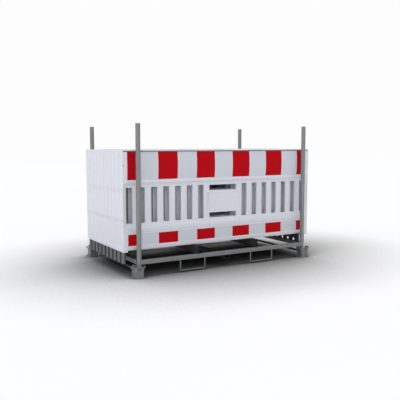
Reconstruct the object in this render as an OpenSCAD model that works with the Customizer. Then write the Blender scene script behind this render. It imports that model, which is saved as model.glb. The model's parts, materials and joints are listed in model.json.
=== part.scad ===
// Stacking transport rack loaded with red and white barricade panels.
// +X runs along the panels, +Y goes from the front panel to the back one, +Z is up.
// The origin is on the ground under the middle of the rack.

/* [Barricade panel] */
// Overall length of a panel, across its upper end faces
panel_l = 2100; // [1750:10:2520]
// Thickness of a panel
panel_t = 92.2; // [76:0.1:111]
// Height of the panel body, without the feet
panel_h = 882; // [735:1:1058]
// Height of the upper beam, which carries the wide sheeting
upper_beam_h = 291; // [272:1:349]
// Height of the lower beam, which carries the narrow sheeting
lower_beam_h = 193; // [160:1:232]
// Depth of the lattice behind the panel's front plane
lattice_setback = 17; // [8:1:24]
// Thickness of the lattice bars
lattice_t = 28; // [20:1:34]
// Air between two panels in the stack
panel_gap = 0.5; // [0.3:0.1:3]
// Inward step of the end faces, at each of two levels
end_step = 1; // [0.5:0.5:1.5]
// Length of the blocks under the panel ends that hold the feet
end_block_l = 46; // [43:1:80]
// Drop of those blocks below the body
end_block_drop = 16; // [8:1:20]

/* [Panel slots and grips] */
// Width of a slot
slot_w = 60; // [50:1:72]
// Distance from one slot to the next
slot_pitch = 122; // [101:1:147]
// Distance from the centre to the first slot on each side
first_slot_x = 247; // [225:1:297]
// Least solid plastic between the last slot and the panel's end
slot_end_margin = 30; // [25:1:60]
// Height of the lattice above the slots
slot_header = 38; // [30:1:60]
// Height of the lattice below the slots
slot_footer = 41; // [30:1:60]
// Width of the two hand grips
grip_w = 308; // [200:1:330]
// Height of the upper grip
upper_grip_h = 53; // [44:1:58]
// Height of the lower grip
lower_grip_h = 49; // [41:1:54]
// Step down from the slots' top to the upper grip's top
upper_grip_drop = 3.5; // [0:0.5:10]
// Step up from the slots' foot to the lower grip's foot
lower_grip_rise = 1.5; // [0:0.5:10]
// Distance from the slots' ends to the steps in the end faces
end_level_inset = 24; // [15:1:40]
// Corner radius of slots and grips
slot_r = 8; // [3:1:12]

/* [Sheeting] */
// Width of one colour block
stripe_w = 200; // [167:1:240]
// Least plain edge between the sheeting and the panel's end
sheet_margin = 50; // [20:1:50]
// Height of the upper sheeting
upper_sheet_h = 246; // [205:1:250]
// Plain lip above the upper sheeting
top_lip = 15; // [13:1:18]
// Height of the groove between the upper sheeting and that lip
groove_h = 9; // [4:0.5:11]
// Depth of that groove
groove_depth = 8; // [3:0.5:12]
// Distance from the panel's ends to the ends of that groove
groove_inset = 12; // [8:1:40]
// Height of the lower sheeting
lower_sheet_h = 100; // [84:1:120]
// Drop of the lower sheeting below the middle of its beam
lower_sheet_drop = 8.5; // [0:0.5:15]
// Bulge of the upper sheeting between its edges
bulge = 8; // [4:0.5:10]
// Thickness of the sheeting on its backing
sheet_t = 1; // [0.8:0.1:1.5]
// Gap between neighbouring colour blocks
stripe_gap = 2; // [1:0.5:4]
// How much a white block falls short of its place at each side
white_trim = 5; // [0:0.5:10]
// Depth of the flat field on the lower beam, down to its sheeting
flat_depth = 2; // [1:0.5:3]
// Depth of the bulged field at its middle, down to its sheeting
bulge_top = 1.2; // [0.6:0.1:3]

/* [Panel feet] */
// Outside diameter of the foot tubes
foot_d = 38; // [30:0.5:39]
// Wall of the foot tubes
foot_wall = 3; // [2:0.5:4]
// Length of foot tube below the end block
foot_reach = 104; // [87:1:108]
// Length of foot tube held in the end block
foot_grip = 120; // [90:1:150]
// Distance of the foot axis from the end of the panel
foot_inset = 22.5; // [22:0.5:26]

/* [Rack] */
// Outside diameter of the posts
post_d = 42.4; // [41:0.1:51]
// Wall of the posts
post_wall = 3; // [2:0.1:4]
// Height of the post tops above the ground
rack_h = 1350; // [1125:10:1620]
// Distance from the panels' ends in to the post axes
post_inset = 124; // [104:1:149]
// Air between the front posts and the first panel
front_air = 41.8; // [10:0.05:60]
// Air between the last panel and the rear posts
rear_air = 140.3; // [10:0.05:240]
// Section of the main rails
rail_s = 40; // [34:1:42]
// Height of the underside of the main rails
rail_z = 115; // [108:1:138]
// Wall of the rails, the deck supports and the cross member
rail_wall = 3; // [2:0.5:4]
// Section of the lower end rails
low_rail_s = 20; // [16:1:24]
// Wall of the lower end rails
low_rail_wall = 2; // [1.5:0.5:3]
// Space between the lower end rails and the corner plates
low_rail_drop = 2; // [1:0.5:6]
// Level of the panel bodies' underside
deck_z = 237; // [220:1:284]
// Plate thickness of the bearers
bearer_t = 4; // [3:0.5:8]
// Width of a bearer's top flange
bearer_w = 40; // [36:1:42]
// Diameter of the round windows in a bearer
window_d = 31; // [20:0.5:34]
// Solid web between the end rail and the windows
window_rise = 3; // [2:0.5:6]
// Width of the two middle supports
support_w = 20; // [15:1:30]
// Distance from the centre to each middle support
support_x = 333; // [280:1:400]
// Width of the centre cross member
cross_w = 65; // [50:1:80]
// Height of the centre cross member
cross_h = 40; // [30:1:48]

/* [Fork pockets] */
// Distance from the centre to the middle of each fork pocket
fork_x = 392; // [350:1:420]
// Outside width of a fork pocket
fork_w = 268; // [220:1:300]
// Thickness of the pocket straps
strap_t = 8; // [6:0.5:10]
// Width of the pocket straps along the forks
strap_w = 12; // [8:1:34]
// Height of the pocket straps' underside above the ground
strap_z = 18; // [10:1:25]
// Outer bend radius of the pocket straps
strap_bend = 16; // [12:1:24]

/* [Stacking feet] */
// Thickness of the base plates and of the corner plates
plate_t = 8; // [5:0.5:10]
// Radial play of a post top in a stacking socket
socket_play = 2; // [1:0.1:4]
// Least wall of a socket block around its bore
sleeve_wall = 5; // [3:0.5:8]
// Corner radius of a socket block
block_r = 8; // [3:1:14]
// Outward shift of the feet from the post axes
foot_shift = 14; // [0:1:14]
// Rim of a base plate around its socket block
base_rim = 7; // [3:0.5:12]
// Rim of a corner plate around its post
corner_rim = 4; // [2:0.5:8]
// Height of the corner plates' underside
corner_z = 72; // [60:1:78]
// Outward reach of a guide ear
ear_out = 24; // [12:1:28]
// Rise of a guide ear
ear_rise = 34; // [25:1:34]
// Width of a guide ear
ear_w = 54; // [40:1:64]
// Thickness of a guide ear
ear_t = 5; // [3:0.5:6]

/* [Fits] */
// Play between welded or seated pieces of one frame
weld_gap = 0.2; // [0.1:0.05:0.4]
// Radial play of a foot tube in its block
foot_play = 0.3; // [0.2:0.05:0.5]
// Play between the panels and the deck that they rest on
rest_gap = 0.3; // [0.1:0.05:0.5]

/* [Hidden] */
$fn = 64;
panel_count = 10;
sides = [-1, 1];
side_names = ["left", "right"];
panel_pitch = panel_t + panel_gap;
stack_t = panel_count * panel_pitch - panel_gap;
post_span_x = panel_l - 2 * post_inset;
post_span_y = stack_t + front_air + rear_air + post_d;
stack_y = -post_span_y / 2 + post_d / 2 + front_air;
panel_top = deck_z + panel_h;
upper_beam_z = panel_top - upper_beam_h;
lower_beam_top = deck_z + lower_beam_h;
lattice_z = lower_beam_top;
lattice_h = upper_beam_z - lower_beam_top;
slot_z = lattice_z + slot_footer;
slot_top = upper_beam_z - slot_header;
slot_h = slot_top - slot_z;
slot_room = panel_l / 2 - slot_end_margin - slot_w / 2 - first_slot_x;
last_slot = floor(slot_room / slot_pitch);
last_slot_x = first_slot_x + last_slot * slot_pitch;
stile_w = panel_l / 2 - last_slot_x - slot_w / 2;
upper_grip_z = slot_top - upper_grip_drop - upper_grip_h;
lower_grip_z = slot_z + lower_grip_rise;
cut_over = 1;

// Sheeting fields on a beam
upper_sheet_z = panel_top - top_lip - upper_sheet_h;
lower_sheet_z = deck_z + (lower_beam_h - lower_sheet_h) / 2 - lower_sheet_drop;
end_place = floor((panel_l / 2 - sheet_margin) / stripe_w);
sheet_l = 2 * stripe_w * end_place;
field_over = 2;
bulge_r = (pow(upper_sheet_h / 2, 2) + bulge * bulge) / (2 * bulge);
bulge_axis_z = upper_sheet_z + upper_sheet_h / 2;

// Rack levels
post_x = post_span_x / 2;
post_y = post_span_y / 2;
rail_top = rail_z + rail_s;
post_foot_z = corner_z + plate_t;
sleeve_r = post_d / 2 + socket_play;
block_w = 2 * (sleeve_r + sleeve_wall + foot_shift);
base_w = block_w + 2 * base_rim;
corner_w = post_d + 2 * (foot_shift + corner_rim);
window_z = rail_top + window_rise + window_d / 2;
low_rail_z = corner_z - low_rail_s - low_rail_drop;
ear_len = norm([ear_out, ear_rise]);
ear_tilt = atan2(ear_rise, ear_out);

function two(i) = i < 10 ? str("0", i) : str(i);
function panel_name(i, piece) = str("panel_", two(i), "_", piece);
function panel_y(i) = stack_y + (i - 1) * panel_pitch;
panel_pieces = ["shell", "red_sheeting", "white_sheeting", "foot_tubes"];
panel_nodes = [for (i = [1:panel_count]) for (p = panel_pieces) panel_name(i, p)];
rack_nodes = [
    "front_left_post", "front_right_post", "rear_left_post", "rear_right_post",
    "front_rail", "rear_rail", "left_end_rail", "right_end_rail",
    "left_lower_rail", "right_lower_rail", "left_bearer", "right_bearer",
    "centre_cross_member", "deck_supports", "left_fork_straps", "right_fork_straps",
    "base_plates", "socket_blocks", "corner_plates", "guide_ears"
];

zinc = [0.52, 0.53, 0.53];
shell_white = [0.88, 0.89, 0.92];
sheet_red = [0.74, 0.02, 0.08];
sheet_white = [0.82, 0.83, 0.85];

// ---- Barricade panel: drawn with its front face at y = 0 ----

// Rectangle with rounded corners, standing on the x axis
module rounded_rect(w, h, r) {
    translate([-w / 2 + r, 0]) square([w - 2 * r, h]);
    translate([-w / 2, r]) square([w, h - 2 * r]);
    for (sx = sides, cy = [r, h - r])
        translate([sx * (w / 2 - r), cy]) circle(r);
}

// Window cut through the lattice from front to back
module window_cut(x, z, w, h) {
    translate([x, lattice_setback + lattice_t + cut_over, z])
        rotate([90, 0, 0])
            linear_extrude(lattice_t + 2 * cut_over) rounded_rect(w, h, slot_r);
}

// Outline of the panel seen from its end: two thick beams joined by the thin lattice
module end_outline() {
    back = lattice_setback + lattice_t;
    polygon([
        [0, deck_z], [panel_t, deck_z],
        [panel_t, lattice_z], [back, lattice_z],
        [back, upper_beam_z], [panel_t, upper_beam_z],
        [panel_t, panel_top], [0, panel_top],
        [0, upper_beam_z], [lattice_setback, upper_beam_z],
        [lattice_setback, lattice_z], [0, lattice_z]
    ]);
}

// Upright at a panel end, whose front face slopes back to the lattice
module end_stile(side) {
    back = lattice_setback + lattice_t;
    flat = stile_w / 4;
    translate([0, 0, lattice_z])
        linear_extrude(lattice_h)
            polygon([
                [side * panel_l / 2, 0],
                [side * (panel_l / 2 - flat), 0],
                [side * (panel_l / 2 - stile_w), lattice_setback],
                [side * (panel_l / 2 - stile_w), back],
                [side * (panel_l / 2 - flat), panel_t],
                [side * panel_l / 2, panel_t]
            ]);
}

// Block under a panel end that holds a foot tube
module end_block(side) {
    x = side > 0 ? panel_l / 2 - end_block_l : -panel_l / 2;
    translate([x, 0, deck_z - end_block_drop])
        cube([end_block_l, panel_t, end_block_drop + lower_beam_h]);
}

// Space taken off an end face below a level
module end_cut(side, level, depth) {
    x = side > 0 ? panel_l / 2 - depth : -panel_l / 2 - cut_over;
    bottom = deck_z - end_block_drop - cut_over;
    translate([x, -cut_over, bottom])
        cube([depth + cut_over, panel_t + 2 * cut_over, level - bottom]);
}

// Hollow over which the bulged sheeting lies, one on each face
module bulged_field(depth) {
    difference() {
        translate([-sheet_l / 2 - field_over, -cut_over, upper_sheet_z - field_over])
            cube([sheet_l + 2 * field_over, bulge_top + bulge + sheet_t + cut_over,
                  upper_sheet_h + 2 * field_over]);
        translate([0, bulge_top + bulge_r + depth, bulge_axis_z])
            rotate([0, 90, 0])
                cylinder(r = bulge_r, h = sheet_l + 4 * field_over, center = true, $fn = 256);
    }
}

// Shallow field for the flat sheeting on the lower beam
module flat_field() {
    translate([-sheet_l / 2 - field_over, -cut_over, lower_sheet_z - field_over])
        cube([sheet_l + 2 * field_over, flat_depth + sheet_t + cut_over,
              lower_sheet_h + 2 * field_over]);
}

// Groove above the bulged sheeting that keeps rain off its top edge
module lip_groove() {
    translate([-panel_l / 2 + groove_inset, -cut_over, upper_sheet_z + upper_sheet_h])
        cube([panel_l - 2 * groove_inset, groove_depth + cut_over, groove_h]);
}

// Places a piece on the front face and its mirror image on the back face
module both_faces() {
    children();
    translate([0, panel_t, 0]) mirror([0, 1, 0]) children();
}

module panel_shell() {
    color(shell_white)
        difference() {
            union() {
                translate([-panel_l / 2, 0, 0])
                    rotate([90, 0, 90]) linear_extrude(panel_l) end_outline();
                for (side = sides) {
                    end_stile(side);
                    end_block(side);
                }
            }
            both_faces() {
                bulged_field(sheet_t + weld_gap);
                lip_groove();
                flat_field();
            }
            for (side = sides) {
                end_cut(side, slot_top - end_level_inset, end_step);
                end_cut(side, slot_z + end_level_inset, 2 * end_step);
                for (k = [0:last_slot])
                    window_cut(side * (first_slot_x + k * slot_pitch), slot_z, slot_w, slot_h);
                translate([side * (panel_l / 2 - foot_inset), panel_t / 2,
                           deck_z - end_block_drop - cut_over])
                    cylinder(d = foot_d + 2 * foot_play, h = foot_grip + cut_over + weld_gap);
            }
            window_cut(0, upper_grip_z, grip_w, upper_grip_h);
            window_cut(0, lower_grip_z, grip_w, lower_grip_h);
        }
}

// Blocks of one colour: red on the odd places from the middle, white on the even ones
module stripe_blocks(y, z, depth, h, odd) {
    trim = odd == 1 ? 0 : 2 * white_trim;
    for (k = [-end_place:end_place])
        if (abs(k) % 2 == odd) {
            half = abs(k) == end_place;
            inner = half ? -sign(k) * stripe_w / 4 : 0;
            w = (half ? stripe_w / 2 : stripe_w) - stripe_gap - trim;
            translate([k * stripe_w + inner - w / 2, y, z]) cube([w, depth, h]);
        }
}

module sheeting(odd) {
    both_faces() {
        intersection() {
            stripe_blocks(0, upper_sheet_z, bulge_top + bulge + sheet_t, upper_sheet_h, odd);
            difference() {
                translate([0, bulge_top + bulge_r, bulge_axis_z])
                    rotate([0, 90, 0])
                        cylinder(r = bulge_r, h = sheet_l, center = true, $fn = 256);
                translate([0, bulge_top + bulge_r + sheet_t, bulge_axis_z])
                    rotate([0, 90, 0])
                        cylinder(r = bulge_r, h = sheet_l + 2, center = true, $fn = 256);
            }
        }
        stripe_blocks(flat_depth, lower_sheet_z, sheet_t - weld_gap, lower_sheet_h, odd);
    }
}

module red_sheeting() { color(sheet_red) sheeting(1); }
module white_sheeting() { color(sheet_white) sheeting(0); }

module foot_tubes() {
    color("dimgray")
        for (side = sides)
            translate([side * (panel_l / 2 - foot_inset), panel_t / 2,
                       deck_z - end_block_drop - foot_reach])
                difference() {
                    cylinder(d = foot_d, h = foot_reach + foot_grip);
                    translate([0, 0, -cut_over])
                        cylinder(d = foot_d - 2 * foot_wall,
                                 h = foot_reach + foot_grip + 2 * cut_over);
                }
}

module panel_piece(piece) {
    if (piece == "shell") panel_shell();
    if (piece == "red_sheeting") red_sheeting();
    if (piece == "white_sheeting") white_sheeting();
    if (piece == "foot_tubes") foot_tubes();
}

// ---- Rack ----

module at_corners() {
    for (sx = sides, sy = sides)
        translate([sx * post_x, sy * post_y, 0]) children();
}

module at_feet() {
    for (sx = sides, sy = sides)
        translate([sx * (post_x + foot_shift), sy * post_y, 0]) children();
}

// Space that a post and its weld take from a piece that meets it
module post_room() {
    at_corners() cylinder(d = post_d + 2 * weld_gap, h = rack_h);
}

module post(sx, sy) {
    color(zinc)
        translate([sx * post_x, sy * post_y, post_foot_z])
            difference() {
                cylinder(d = post_d, h = rack_h - post_foot_z);
                translate([0, 0, -cut_over])
                    cylinder(d = post_d - 2 * post_wall, h = rack_h);
            }
}

// Box section tube along x or y with rounded corners, open at its ends
module box_tube(len, w, h, wall, along_x) {
    rotate([0, 0, along_x ? 0 : 90])
        translate([-len / 2, 0, 0])
            rotate([90, 0, 90])
                linear_extrude(len)
                    difference() {
                        rounded_rect(w, h, 2 * wall);
                        translate([0, wall]) rounded_rect(w - 2 * wall, h - 2 * wall, wall);
                    }
}

module long_rail(sy) {
    color(zinc)
        difference() {
            translate([0, sy * post_y, rail_z])
                box_tube(post_span_x, rail_s, rail_s, rail_wall, true);
            post_room();
        }
}

module end_rail(sx) {
    color(zinc)
        difference() {
            translate([sx * post_x, 0, rail_z])
                box_tube(post_span_y - rail_s - 2 * weld_gap, rail_s, rail_s, rail_wall, false);
            post_room();
        }
}

module lower_rail(sx) {
    color(zinc)
        difference() {
            translate([sx * post_x, 0, low_rail_z])
                box_tube(post_span_y, low_rail_s, low_rail_s, low_rail_wall, false);
            at_feet()
                translate([-block_w / 2 - weld_gap, -block_w / 2 - weld_gap, 0])
                    cube([block_w + 2 * weld_gap, block_w + 2 * weld_gap, rack_h]);
        }
}

// Bearer under the panel ends: a flange, and a web along its inner edge with round windows
module bearer(sx) {
    web_h = deck_z - rest_gap - rail_top - weld_gap;
    len = post_span_y - post_d - 2 * weld_gap;
    web_x = -sx * (bearer_w - bearer_t) / 2;
    color(zinc)
        translate([sx * post_x, 0, rail_top + weld_gap])
            difference() {
                union() {
                    translate([web_x - bearer_t / 2, -len / 2, 0]) cube([bearer_t, len, web_h]);
                    translate([-bearer_w / 2, -len / 2, web_h - bearer_t])
                        cube([bearer_w, len, bearer_t]);
                }
                for (i = [1:panel_count + 1])
                    translate([web_x, panel_y(i) + panel_t / 2,
                               window_z - rail_top - weld_gap])
                        rotate([0, 90, 0])
                            cylinder(d = window_d, h = 2 * bearer_t, center = true);
            }
}

module centre_cross_member() {
    color(zinc)
        translate([0, 0, rail_z - weld_gap - cross_h])
            box_tube(post_span_y, cross_w, cross_h, rail_wall, false);
}

module deck_supports() {
    h = deck_z - rest_gap - rail_top - weld_gap;
    color(zinc)
        for (sx = sides)
            translate([sx * support_x, 0, rail_top + weld_gap])
                box_tube(post_span_y + rail_s, support_w, h, rail_wall, false);
}

// Bar bent to a U and hung under the front and the rear rail, flush with their outer faces
module fork_straps(sx) {
    h = rail_z - weld_gap - strap_z;
    strap_y = post_y + (rail_s - strap_w) / 2;
    color(zinc)
        for (sy = sides)
            translate([sx * fork_x, sy * strap_y + strap_w / 2, strap_z])
                rotate([90, 0, 0])
                    linear_extrude(strap_w)
                        difference() {
                            rounded_rect(fork_w, 2 * h, strap_bend);
                            translate([0, strap_t])
                                rounded_rect(fork_w - 2 * strap_t, 2 * h, strap_bend - strap_t);
                            translate([-fork_w, h]) square([2 * fork_w, 2 * h]);
                        }
}

// Bore for the post top of a rack below, open at the ground and closed by the corner plate
module socket_bore() {
    at_corners() translate([0, 0, -cut_over]) cylinder(r = sleeve_r, h = corner_z + cut_over);
}

module base_plates() {
    color(zinc)
        difference() {
            at_feet() translate([-base_w / 2, -base_w / 2, 0]) cube([base_w, base_w, plate_t]);
            socket_bore();
        }
}

module socket_blocks() {
    color(zinc)
        difference() {
            at_feet()
                translate([0, -block_w / 2, plate_t + weld_gap])
                    linear_extrude(corner_z - plate_t - 2 * weld_gap)
                        rounded_rect(block_w, block_w, block_r);
            socket_bore();
        }
}

module corner_plates() {
    color(zinc)
        at_feet()
            translate([-corner_w / 2, -corner_w / 2, corner_z])
                cube([corner_w, corner_w, plate_t - weld_gap]);
}

// Lips that flare up and out around each corner plate
module guide_ears() {
    color("silver")
        at_feet()
            for (a = [0:90:270])
                rotate([0, 0, a])
                    translate([corner_w / 2 + weld_gap, -ear_w / 2, corner_z])
                        intersection() {
                            rotate([0, -ear_tilt, 0])
                                translate([-ear_len, 0, -ear_t])
                                    cube([3 * ear_len, ear_w, ear_t]);
                            cube([ear_out, ear_w, 2 * ear_rise]);
                        }
}

post(-1, -1);  // front_left_post
post(1, -1);  // front_right_post
post(-1, 1);  // rear_left_post
post(1, 1);  // rear_right_post
long_rail(-1);  // front_rail
long_rail(1);  // rear_rail
for (s = [0, 1]) {
    end_rail(sides[s]);
    lower_rail(sides[s]);
    bearer(sides[s]);
    fork_straps(sides[s]);
}
centre_cross_member();
deck_supports();
base_plates();
socket_blocks();
corner_plates();
guide_ears();
for (i = [1:panel_count], piece = panel_pieces)
    translate([0, panel_y(i), 0]) panel_piece(piece);
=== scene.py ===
import json
import math

import bmesh
import bpy
from mathutils import Matrix, Vector


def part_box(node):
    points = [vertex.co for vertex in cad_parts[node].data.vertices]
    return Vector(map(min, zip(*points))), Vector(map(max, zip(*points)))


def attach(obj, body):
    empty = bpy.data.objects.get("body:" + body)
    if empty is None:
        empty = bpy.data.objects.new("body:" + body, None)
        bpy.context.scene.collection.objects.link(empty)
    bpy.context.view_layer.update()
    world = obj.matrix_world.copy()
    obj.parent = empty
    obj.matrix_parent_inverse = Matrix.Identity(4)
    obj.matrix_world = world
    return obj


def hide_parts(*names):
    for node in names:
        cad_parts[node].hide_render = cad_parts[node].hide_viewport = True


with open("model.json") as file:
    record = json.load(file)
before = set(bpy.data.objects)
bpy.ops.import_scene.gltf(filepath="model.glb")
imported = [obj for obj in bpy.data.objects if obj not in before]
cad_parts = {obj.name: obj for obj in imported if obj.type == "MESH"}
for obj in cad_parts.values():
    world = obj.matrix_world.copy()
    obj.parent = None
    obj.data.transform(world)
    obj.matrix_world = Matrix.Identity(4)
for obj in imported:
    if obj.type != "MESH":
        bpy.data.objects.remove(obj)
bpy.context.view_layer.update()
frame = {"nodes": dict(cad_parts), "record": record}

# ---------------------------------------------------------------------------------------------
# Camera
# A long normal lens a little above the rack's posts, off its left front corner.
# ---------------------------------------------------------------------------------------------
sensor_width = 0.036
focal_ratio = 562.1 / 400
camera_place = Vector((-2.9339, -5.0394, 1.1688))
camera_yaw = math.radians(30.49)
camera_pitch = math.radians(5.65)

camera_data = bpy.data.cameras.new("camera")
camera_data.sensor_width = sensor_width * 1000
camera_data.lens = focal_ratio * sensor_width * 1000
camera_data.clip_end = 200
camera = bpy.data.objects.new("camera", camera_data)
camera.location = camera_place
camera.rotation_euler = (math.pi / 2 - camera_pitch, 0, -camera_yaw)
bpy.context.scene.collection.objects.link(camera)
bpy.context.scene.camera = camera
bpy.context.scene.view_settings.view_transform = "Standard"

# ---------------------------------------------------------------------------------------------
# Studio
# A pale seamless floor under a white tent, with a wide soft light high on the left and a weaker
# one in front. Painted shadow: an ambient occlusion mask darkens the floor's colour where the
# rack covers it.
# ---------------------------------------------------------------------------------------------


class Socket:
    """A shader socket that adds Math nodes when it is used in an expression."""

    def __init__(self, nodes, out):
        self.nodes = nodes
        self.out = out

    def math(self, operation, *values):
        return self.nodes.add("ShaderNodeMath", {"operation": operation}, dict(enumerate(values)))

    def __add__(self, other):
        return self.math("ADD", self, other)

    def __radd__(self, other):
        return self.math("ADD", other, self)

    def __sub__(self, other):
        return self.math("SUBTRACT", self, other)

    def __rsub__(self, other):
        return self.math("SUBTRACT", other, self)

    def __mul__(self, other):
        return self.math("MULTIPLY", self, other)

    def __rmul__(self, other):
        return self.math("MULTIPLY", other, self)

    def __pow__(self, other):
        return self.math("POWER", self, other)

    def above(self, other):
        return self.math("GREATER_THAN", self, other)

    def below(self, other):
        return self.math("LESS_THAN", self, other)

    def magnitude(self):
        return self.math("ABSOLUTE", self)

    def clamped(self):
        return self.math("MINIMUM", self.math("MAXIMUM", self, 0.0), 1.0)


class NodeSet:
    """The node tree of one material or of the world."""

    def __init__(self, tree):
        self.tree = tree
        tree.nodes.clear()

    def add(self, kind, settings=None, inputs=None, out=0):
        node = self.tree.nodes.new(kind)
        for name, value in (settings or {}).items():
            setattr(node, name, value)
        for name, value in (inputs or {}).items():
            if isinstance(value, Socket):
                self.tree.links.new(value.out, node.inputs[name])
            elif isinstance(value, tuple) and len(value) == 3 and node.inputs[name].type == "RGBA":
                node.inputs[name].default_value = (*value, 1)
            else:
                node.inputs[name].default_value = value
        return Socket(self, node.outputs[out] if node.outputs else None)

    def mix(self, factor, a, b):
        """Colour a where factor is 0 and b where it is 1."""
        return self.add("ShaderNodeMix", {"data_type": "RGBA"}, {0: factor, 6: a, 7: b}, out=2)

    def place(self):
        return self.add("ShaderNodeTexCoord", out=3)

    def axes(self):
        """The three Object coordinates, as numbers."""
        parts = self.add("ShaderNodeSeparateXYZ", inputs={0: self.place()})
        return [Socket(self, parts.out.node.outputs[i]) for i in range(3)]

    def noise(self, scale, detail=2.0, stretch=(1, 1, 1)):
        where = self.add("ShaderNodeMapping", inputs={"Vector": self.place(), "Scale": stretch})
        return self.add("ShaderNodeTexNoise", inputs={"Vector": where, "Scale": scale,
                                                      "Detail": detail})

    def bump(self, height, strength, distance):
        return self.add("ShaderNodeBump", inputs={"Height": height, "Strength": strength,
                                                  "Distance": distance})


def new_material(name, build, **constants):
    """A principled material: build(nodes) returns what varies, and constants hold the rest."""
    material = bpy.data.materials.new(name)
    material.use_nodes = True
    nodes = NodeSet(material.node_tree)
    varying = {key.replace("_", " "): value for key, value in build(nodes).items()}
    fixed = {key.replace("_", " "): value for key, value in constants.items()}
    shader = nodes.add("ShaderNodeBsdfPrincipled", inputs={**fixed, **varying})
    nodes.add("ShaderNodeOutputMaterial", inputs={"Surface": shader})
    return material


def mesh_from(bm, name):
    """The mesh that a finished bmesh holds."""
    mesh = bpy.data.meshes.new(name)
    bm.to_mesh(mesh)
    bm.free()
    return mesh


floor_size = 60.0
floor_open = (0.97, 0.97, 0.97)
# Painted shadow: the floor's colour where the rack covers it fully, and the reach, power and
# samples of the ambient occlusion mask that paints it.
floor_painted_shadow = (0.02, 0.02, 0.021)
painted_shadow_reach = 1.5
painted_shadow_power = 2.2
painted_shadow_samples = 6
floor_cloud_scale = 0.6
floor_cloud = 0.02


def floor_look(nodes):
    # Painted shadow: the ambient occlusion mask darkens the floor's colour near and under the
    # rack.
    painted_shadow_mask = nodes.add("ShaderNodeAmbientOcclusion", {"samples": painted_shadow_samples},
                      {"Distance": painted_shadow_reach}, out=1)
    tint = nodes.noise(floor_cloud_scale)
    shade = painted_shadow_mask ** painted_shadow_power * (1 - tint * floor_cloud)
    return {"Base_Color": nodes.mix(shade, floor_painted_shadow, floor_open)}


floor_form = bmesh.new()
bmesh.ops.create_grid(floor_form, x_segments=2, y_segments=2, size=floor_size / 2)
floor = bpy.data.objects.new("floor", mesh_from(floor_form, "floor"))
floor_paint = new_material("floor_paint", floor_look, Roughness=1.0, Specular_IOR_Level=0.0)
floor.data.materials.append(floor_paint)
bpy.context.scene.collection.objects.link(floor)

horizon_light = 0.46
zenith_light = 1.10
ground_light = 0.08
ground_falloff = 4
backdrop_white = 0.985
world = bpy.data.worlds.new("tent")
bpy.context.scene.world = world
world.use_nodes = True
tent = NodeSet(world.node_tree)
direction = tent.add("ShaderNodeSeparateXYZ", inputs={0: tent.add("ShaderNodeTexCoord")})
height = Socket(tent, direction.out.node.outputs[2])
seen = tent.add("ShaderNodeLightPath")
upper_light = height.clamped() * (zenith_light - horizon_light)
lower_light = (height * -ground_falloff).clamped() * (ground_light - horizon_light)
tent_light = horizon_light + upper_light + lower_light
strength = seen * backdrop_white + (1 - seen) * tent_light
glow = tent.add("ShaderNodeBackground", inputs={"Color": (1.0, 1.0, 1.0), "Strength": strength})
tent.add("ShaderNodeOutputWorld", inputs={"Surface": glow})


def add_sun(name, strength, colour, spread, from_direction):
    sun_data = bpy.data.lights.new(name, "SUN")
    sun_data.energy = strength
    sun_data.color = colour
    sun_data.angle = math.radians(spread)
    sun = bpy.data.objects.new(name, sun_data)
    sun.rotation_euler = Vector(from_direction).to_track_quat("Z", "Y").to_euler()
    bpy.context.scene.collection.objects.link(sun)


add_sun("left_softbox", strength=0.62, colour=(0.94, 0.98, 1.08), spread=50,
        from_direction=(-1.0, 0.05, 0.75))
add_sun("front_softbox", strength=0.25, colour=(1.0, 1.0, 1.0), spread=24,
        from_direction=(-0.42, -0.90, 0.38))

# ---------------------------------------------------------------------------------------------
# Panel shells
# Each panel is a blow moulded white plastic shell: two thick beams with sunk fields for the
# sheeting and a groove above each, a thin slotted lattice with two grips, and sloped end stiles.
# ---------------------------------------------------------------------------------------------
panel_count = 10
first_low, first_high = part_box("panel_01_shell")
second_low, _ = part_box("panel_02_shell")
panel_pitch = second_low.y - first_low.y
half_l = first_high.x
panel_t = first_high.y - first_low.y
panel_top = first_high.z
block_bottom = first_low.z
end_block_drop = 0.016
end_block_l = 0.046
lower_beam_h = 0.193
upper_beam_h = 0.291
deck_z = block_bottom + end_block_drop
block_x = half_l - end_block_l
lower_beam_top = deck_z + lower_beam_h
upper_beam_z = panel_top - upper_beam_h
lattice_front = 0.017
lattice_back = 0.045
slot_rise = 0.0015
lattice_mid = (upper_beam_z + lower_beam_top) / 2 + slot_rise
slot_h = 0.319
slot_w = 0.060
slot_pitch = 0.122
slots_each_side = 7
stile_w = 0.041
outer_slot = half_l - stile_w - slot_w / 2
grip_half = 0.154
upper_grip = (lattice_mid + 0.103, lattice_mid + 0.156)
lower_grip = (lattice_mid - 0.158, lattice_mid - 0.109)
stile_flat = half_l - stile_w / 4
draft = 0.002
end_step = 0.001
end_level_inset = 0.024
end_level_slope = 0.0015
end_levels = (lattice_mid + slot_h / 2 - end_level_inset,
              lattice_mid - slot_h / 2 + end_level_inset)
field_half = 1.002
upper_field = (panel_top - 0.263, panel_top - 0.013)
lower_field = (deck_z + 0.036, deck_z + 0.140)
bulge_mid = panel_top - 0.138
bulge_radius = 0.94963
bulge_depth = 0.0024
flat_field_depth = 0.003
groove_half = half_l - 0.012
lip_h = 0.006
groove = (upper_field[1] - draft, panel_top - lip_h)
groove_depth = 0.008
low_groove = (deck_z + 0.147, deck_z + 0.156)
low_groove_depth = 0.004
# Painted shade: a dark grey colour for the upper groove under the top lip, standing in for its
# shadow.
groove_painted_shade = (0.16, 0.165, 0.17)
label_half = 0.182
label_field = (lattice_mid - 0.098, lattice_mid + 0.079)
label_depth = 0.0025
edge_round = 0.0035
corner_round = 0.008
bulge_steps = 14
touch = 1e-5


def slot_centres():
    for side in (-1, 1):
        for k in range(slots_each_side):
            yield side * (outer_slot - k * slot_pitch)


def inside(value, span, slack=touch):
    return span[0] - slack <= value <= span[1] + slack


def drafted(low, high):
    """The part of a sunk field at its full depth, inside its sloped rim."""
    return low + draft, high - draft


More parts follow.
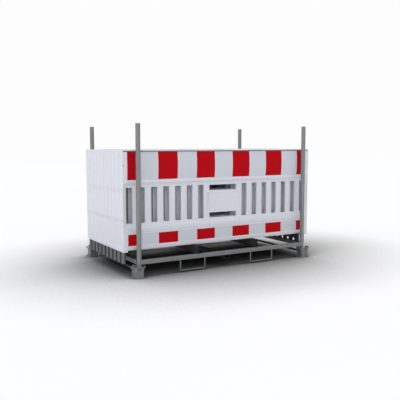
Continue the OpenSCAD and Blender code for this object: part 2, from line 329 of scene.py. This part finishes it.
def face_depth(x, z, lattice_depth, labelled):
    """How far the shell's face lies behind the flat of its beams at a place."""
    across_groove = abs(x) <= groove_half - draft + touch
    across_field = abs(x) <= field_half - draft + touch
    if inside(z, drafted(*groove)) and across_groove:
        return groove_depth
    if inside(z, drafted(*low_groove)) and across_groove:
        return low_groove_depth
    if inside(z, drafted(*upper_field)) and across_field:
        return bulge_depth + bulge_radius - math.sqrt(bulge_radius ** 2 - (z - bulge_mid) ** 2)
    if inside(z, drafted(*lower_field)) and across_field:
        return flat_field_depth
    if inside(z, drafted(lower_beam_top, upper_beam_z)):
        slope = (stile_flat - abs(x)) / (stile_flat - outer_slot - slot_w / 2)
        depth = lattice_depth * min(max(slope, 0), 1)
        sunk = labelled and abs(x) <= label_half and inside(z, label_field)
        return depth + (label_depth if sunk else 0)
    return 0.0


def shell_lines():
    xs = {0.0, stile_flat, field_half, field_half - draft, block_x, grip_half,
          groove_half, groove_half - draft,
          label_half, label_half + draft}
    for centre in slot_centres():
        xs |= {abs(centre) - slot_w / 2, abs(centre) + slot_w / 2}
    zs = {deck_z, lower_beam_top, lower_beam_top + draft, upper_beam_z, upper_beam_z - draft,
          lattice_mid - slot_h / 2, lattice_mid + slot_h / 2, *upper_grip, *lower_grip,
          label_field[0], label_field[0] - draft, label_field[1], label_field[1] + draft}
    for low, high in (upper_field, lower_field, low_groove):
        zs |= {low, low + draft, high, high - draft}
    zs |= {groove[1], groove[1] - draft}
    for level in end_levels:
        zs |= {level - end_level_slope, level + end_level_slope}
    low, high = drafted(*upper_field)
    zs |= {low + (high - low) * i / bulge_steps for i in range(1, bulge_steps)}
    return sorted(xs | {-x for x in xs}), sorted(zs)


def is_hole(x, z):
    if z < deck_z:
        return abs(x) < block_x
    if abs(x) < grip_half and (inside(z, upper_grip) or inside(z, lower_grip)):
        return True
    in_slot = any(abs(x - centre) < slot_w / 2 for centre in slot_centres())
    return in_slot and abs(z - lattice_mid) < slot_h / 2


def build_shell():
    bm = bmesh.new()
    middle = Matrix.Translation((0, (panel_top + block_bottom) / 2, 0))
    size = Matrix.Diagonal((2 * half_l, panel_top - block_bottom, 1, 1))
    bmesh.ops.create_grid(bm, x_segments=1, y_segments=1, size=0.5, matrix=middle @ size)
    xs, zs = shell_lines()
    for lines, normal in ((xs, (1, 0, 0)), (zs, (0, 1, 0))):
        for line in lines:
            everything = bm.verts[:] + bm.edges[:] + bm.faces[:]
            bmesh.ops.bisect_plane(bm, geom=everything, dist=1e-6, plane_no=normal,
                                   plane_co=Vector(normal) * line)
    holes = [f for f in bm.faces if is_hole(f.calc_center_median().x, f.calc_center_median().y)]
    bmesh.ops.delete(bm, geom=holes, context="FACES")
    front = set(bm.verts)
    bmesh.ops.extrude_face_region(bm, geom=bm.faces[:])
    for v in bm.verts:
        x, z = v.co.x, v.co.y
        if v in front:
            y = face_depth(x, z, lattice_front, True)
        else:
            y = panel_t - face_depth(x, z, panel_t - lattice_back, False)
        if abs(x) > half_l - touch:
            x -= math.copysign(end_step * sum(z < level for level in end_levels), x)
        v.co = (x, y, z)
    corners = {(round(c + s * slot_w / 2, 4), round(lattice_mid + t * slot_h / 2, 4))
               for c in slot_centres() for s in (-1, 1) for t in (-1, 1)}
    corners |= {(round(s * grip_half, 4), round(z, 4))
                for s in (-1, 1) for z in (*upper_grip, *lower_grip)}
    through = [e for e in bm.edges
               if (round(e.verts[0].co.x, 4), round(e.verts[0].co.z, 4)) in corners
               and abs(e.verts[0].co.x - e.verts[1].co.x) < touch
               and abs(e.verts[0].co.z - e.verts[1].co.z) < touch]
    bmesh.ops.bevel(bm, geom=through, offset=corner_round, offset_type="OFFSET", segments=3,
                    profile=0.5, affect="EDGES", material=-1, clamp_overlap=True)
    bmesh.ops.recalc_face_normals(bm, faces=bm.faces[:])
    return mesh_from(bm, "shell_form")


def finished(mesh, modifiers):
    """A mesh with its modifiers applied."""
    holder = bpy.data.objects.new("holder", mesh)
    bpy.context.scene.collection.objects.link(holder)
    for kind, settings in modifiers:
        modifier = holder.modifiers.new(kind, kind)
        for name, value in settings.items():
            setattr(modifier, name, value)
    graph = bpy.context.evaluated_depsgraph_get()
    result = bpy.data.meshes.new_from_object(holder.evaluated_get(graph))
    bpy.data.objects.remove(holder)
    return result


def add_piece(name, mesh, material, body, shift=(0, 0, 0), smooth=True):
    """A copy of the mesh, moved to its place, that rides on a body."""
    mesh = mesh.copy()
    mesh.name = name
    mesh.transform(Matrix.Translation(shift))
    if smooth:
        mesh.shade_smooth()
    mesh.materials.clear()
    mesh.materials.append(material)
    piece = bpy.data.objects.new(name, mesh)
    bpy.context.scene.collection.objects.link(piece)
    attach(piece, body)
    return piece


shell_white = (0.735, 0.755, 0.815)
shell_shade = (0.705, 0.725, 0.78)
dust_colour = (0.52, 0.51, 0.49)
dust_top = 0.42
dust_fade = 2.2


def shell_look(nodes):
    x, _, z = nodes.axes()
    cloud = nodes.noise(2.2, 4)
    streak = nodes.noise(9, 3, stretch=(1, 1, 0.12))
    dust = ((dust_top - z) * dust_fade).clamped() * streak
    white = nodes.mix(cloud * 0.5, shell_white, shell_shade)
    # Painted shade: the upper groove, under the top lip, is coloured dark grey where its shadow
    # falls.
    groove_shade_mask = z.above(groove[0]) * z.below(groove[1]) * x.magnitude().below(groove_half)
    white = nodes.mix(groove_shade_mask, white, groove_painted_shade)
    grain = nodes.noise(620, 2)
    ripple = nodes.noise(14, 2)
    return {
        "Base_Color": nodes.mix(dust * 0.25, white, dust_colour),
        "Roughness": 0.40 + cloud * 0.14,
        "Normal": nodes.bump(grain * 0.35 + ripple, 0.25, 0.0012),
    }


shell_plastic = new_material("shell_plastic", shell_look, IOR=1.49)
rounding = ("BEVEL", {"width": edge_round, "segments": 3, "limit_method": "ANGLE",
                      "angle_limit": math.radians(38), "use_clamp_overlap": True})
weighting = ("WEIGHTED_NORMAL", {"keep_sharp": False, "weight": 80})
shell_form = finished(build_shell(), [rounding, weighting])

for number in range(1, panel_count + 1):
    tag = f"panel_{number:02d}"
    shift = (0, first_low.y + (number - 1) * panel_pitch, 0)
    shell = add_piece(f"{tag}_moulding", shell_form, shell_plastic, tag, shift)
    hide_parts(f"{tag}_shell")

# ---------------------------------------------------------------------------------------------
# Panel fittings
# Five low moulded pips stand along each panel's top edge, and a dark plug closes the hole near
# each end of the upper beam's front face.
# ---------------------------------------------------------------------------------------------
pip_size = Vector((0.040, 0.030, 0.005))
pip_places = (-0.870, -0.435, 0.0, 0.435, 0.870)
pip_sunk = 0.001
pip_round = 0.0015
plug_radius = 0.005
plug_proud = 0.0003
plug_depth = 0.004
plug_from_end = 0.0055
plug_z = 0.985


def pips_mesh():
    bm = bmesh.new()
    for x in pip_places:
        place = Matrix.Translation((x, panel_t / 2, panel_top - pip_sunk + pip_size.z / 2))
        bmesh.ops.create_cube(bm, size=1, matrix=place @ Matrix.Diagonal((*pip_size, 1)))
    bmesh.ops.bevel(bm, geom=bm.edges[:], offset=pip_round, segments=2, profile=0.5,
                    affect="EDGES")
    return mesh_from(bm, "pips")


def plugs_mesh():
    bm = bmesh.new()
    for side in (-1, 1):
        x = side * (half_l - plug_from_end - plug_radius)
        place = Matrix.Translation((x, plug_depth / 2 - plug_proud, plug_z))
        turn = Matrix.Rotation(math.pi / 2, 4, "X")
        bmesh.ops.create_cone(bm, cap_ends=True, segments=20, radius1=plug_radius,
                              radius2=plug_radius, depth=plug_depth, matrix=place @ turn)
    bmesh.ops.recalc_face_normals(bm, faces=bm.faces[:])
    return mesh_from(bm, "plugs")


def plug_look(nodes):
    return {"Roughness": 0.5 + nodes.noise(40, 2) * 0.2}


plug_rubber = new_material("plug_rubber", plug_look, Base_Color=(0.05, 0.05, 0.055))
pips = pips_mesh()
plugs = plugs_mesh()
for number in range(1, panel_count + 1):
    tag = f"panel_{number:02d}"
    shift = (0, first_low.y + (number - 1) * panel_pitch, 0)
    add_piece(f"{tag}_pips", pips, shell_plastic, tag, shift)
    add_piece(f"{tag}_plugs", plugs, plug_rubber, tag, shift, smooth=False)

# ---------------------------------------------------------------------------------------------
# Sheeting
# Red and white retroreflective blocks, 200 mm wide, glued into the sunk fields of both beams.
# ---------------------------------------------------------------------------------------------


def sheeting_look(bright, dull):
    def build(nodes):
        wear = nodes.noise(3.5, 4)
        cells = nodes.add("ShaderNodeTexVoronoi", {"feature": "DISTANCE_TO_EDGE"},
                          {"Vector": nodes.place(), "Scale": 190.0})
        net = cells.below(0.07)
        body = nodes.mix(wear * 0.6, bright, dull)
        seal = tuple(min(1.0, part * 1.18 + 0.01) for part in bright)
        return {
            "Base_Color": nodes.mix(net * 0.35, body, seal),
            "Roughness": 0.30 + wear * 0.12,
            "Normal": nodes.bump(net + wear * 0.4, 0.12, 0.0006),
        }
    return build


red_film = new_material(
    "red_film",
    sheeting_look(bright=(0.49, 0.002, 0.007), dull=(0.42, 0.001, 0.005)),
    Specular_IOR_Level=0.04)
white_film = new_material(
    "white_film",
    sheeting_look(bright=(0.62, 0.655, 0.71), dull=(0.59, 0.625, 0.68)),
    Specular_IOR_Level=0.15)


def repaint(node, material):
    """Gives a CAD node its finished material."""
    mesh = frame["nodes"][node].data
    mesh.materials.clear()
    mesh.materials.append(material)


for number in range(1, panel_count + 1):
    repaint(f"panel_{number:02d}_red_sheeting", red_film)
    repaint(f"panel_{number:02d}_white_sheeting", white_film)

# ---------------------------------------------------------------------------------------------
# Steel
# The rack's tubes and plates are hot dip galvanised: dull grey zinc with faint spangles.
# The panels' foot tubes are plain zinc plated tube, a little darker.
# ---------------------------------------------------------------------------------------------


def zinc_look(light, dark, scale):
    def build(nodes):
        spangle = nodes.add("ShaderNodeTexVoronoi", {"feature": "F1"},
                            {"Vector": nodes.place(), "Scale": scale}, out=1)
        flake = nodes.add("ShaderNodeSeparateColor", inputs={0: spangle})
        cloud = nodes.noise(11, 4)
        tone = (flake * 0.45 + cloud * 0.7).clamped()
        return {
            "Base_Color": nodes.mix(tone, dark, light),
            "Roughness": 0.42 + flake * 0.16,
            "Normal": nodes.bump(cloud + nodes.noise(160, 2) * 0.25, 0.3, 0.0008),
        }
    return build


rack_spangle = 120.0
tube_spangle = 160.0
zinc = new_material(
    "rack_zinc",
    zinc_look((0.31, 0.315, 0.318), (0.18, 0.185, 0.188), rack_spangle),
    Metallic=0.55)
foot_zinc = new_material(
    "foot_zinc",
    zinc_look((0.22, 0.225, 0.23), (0.13, 0.135, 0.14), tube_spangle),
    Metallic=0.5)
# Painted shade: a near black copy of the zinc for the steel under the deck, where shade falls.
painted_shade_zinc = new_material(
    "painted_shade_zinc",
    zinc_look((0.07, 0.071, 0.073), (0.04, 0.041, 0.043), rack_spangle),
    Metallic=0.55)
bright_zinc = new_material(
    "bright_zinc",
    zinc_look((0.56, 0.565, 0.57), (0.40, 0.405, 0.41), rack_spangle),
    Metallic=0.5)
under_deck = ["left_bearer", "right_bearer", "deck_supports", "centre_cross_member",
              "left_lower_rail", "right_lower_rail"]
for node in frame["record"]["behaviour"]["bodies"]["rack"]:
    # The steel under the deck takes the near black copy of the zinc, as painted shade.
    if node in under_deck:
        repaint(node, painted_shade_zinc)
    elif node == "corner_plates":
        repaint(node, bright_zinc)
    else:
        repaint(node, zinc)
for number in range(1, panel_count + 1):
    repaint(f"panel_{number:02d}_foot_tubes", foot_zinc)
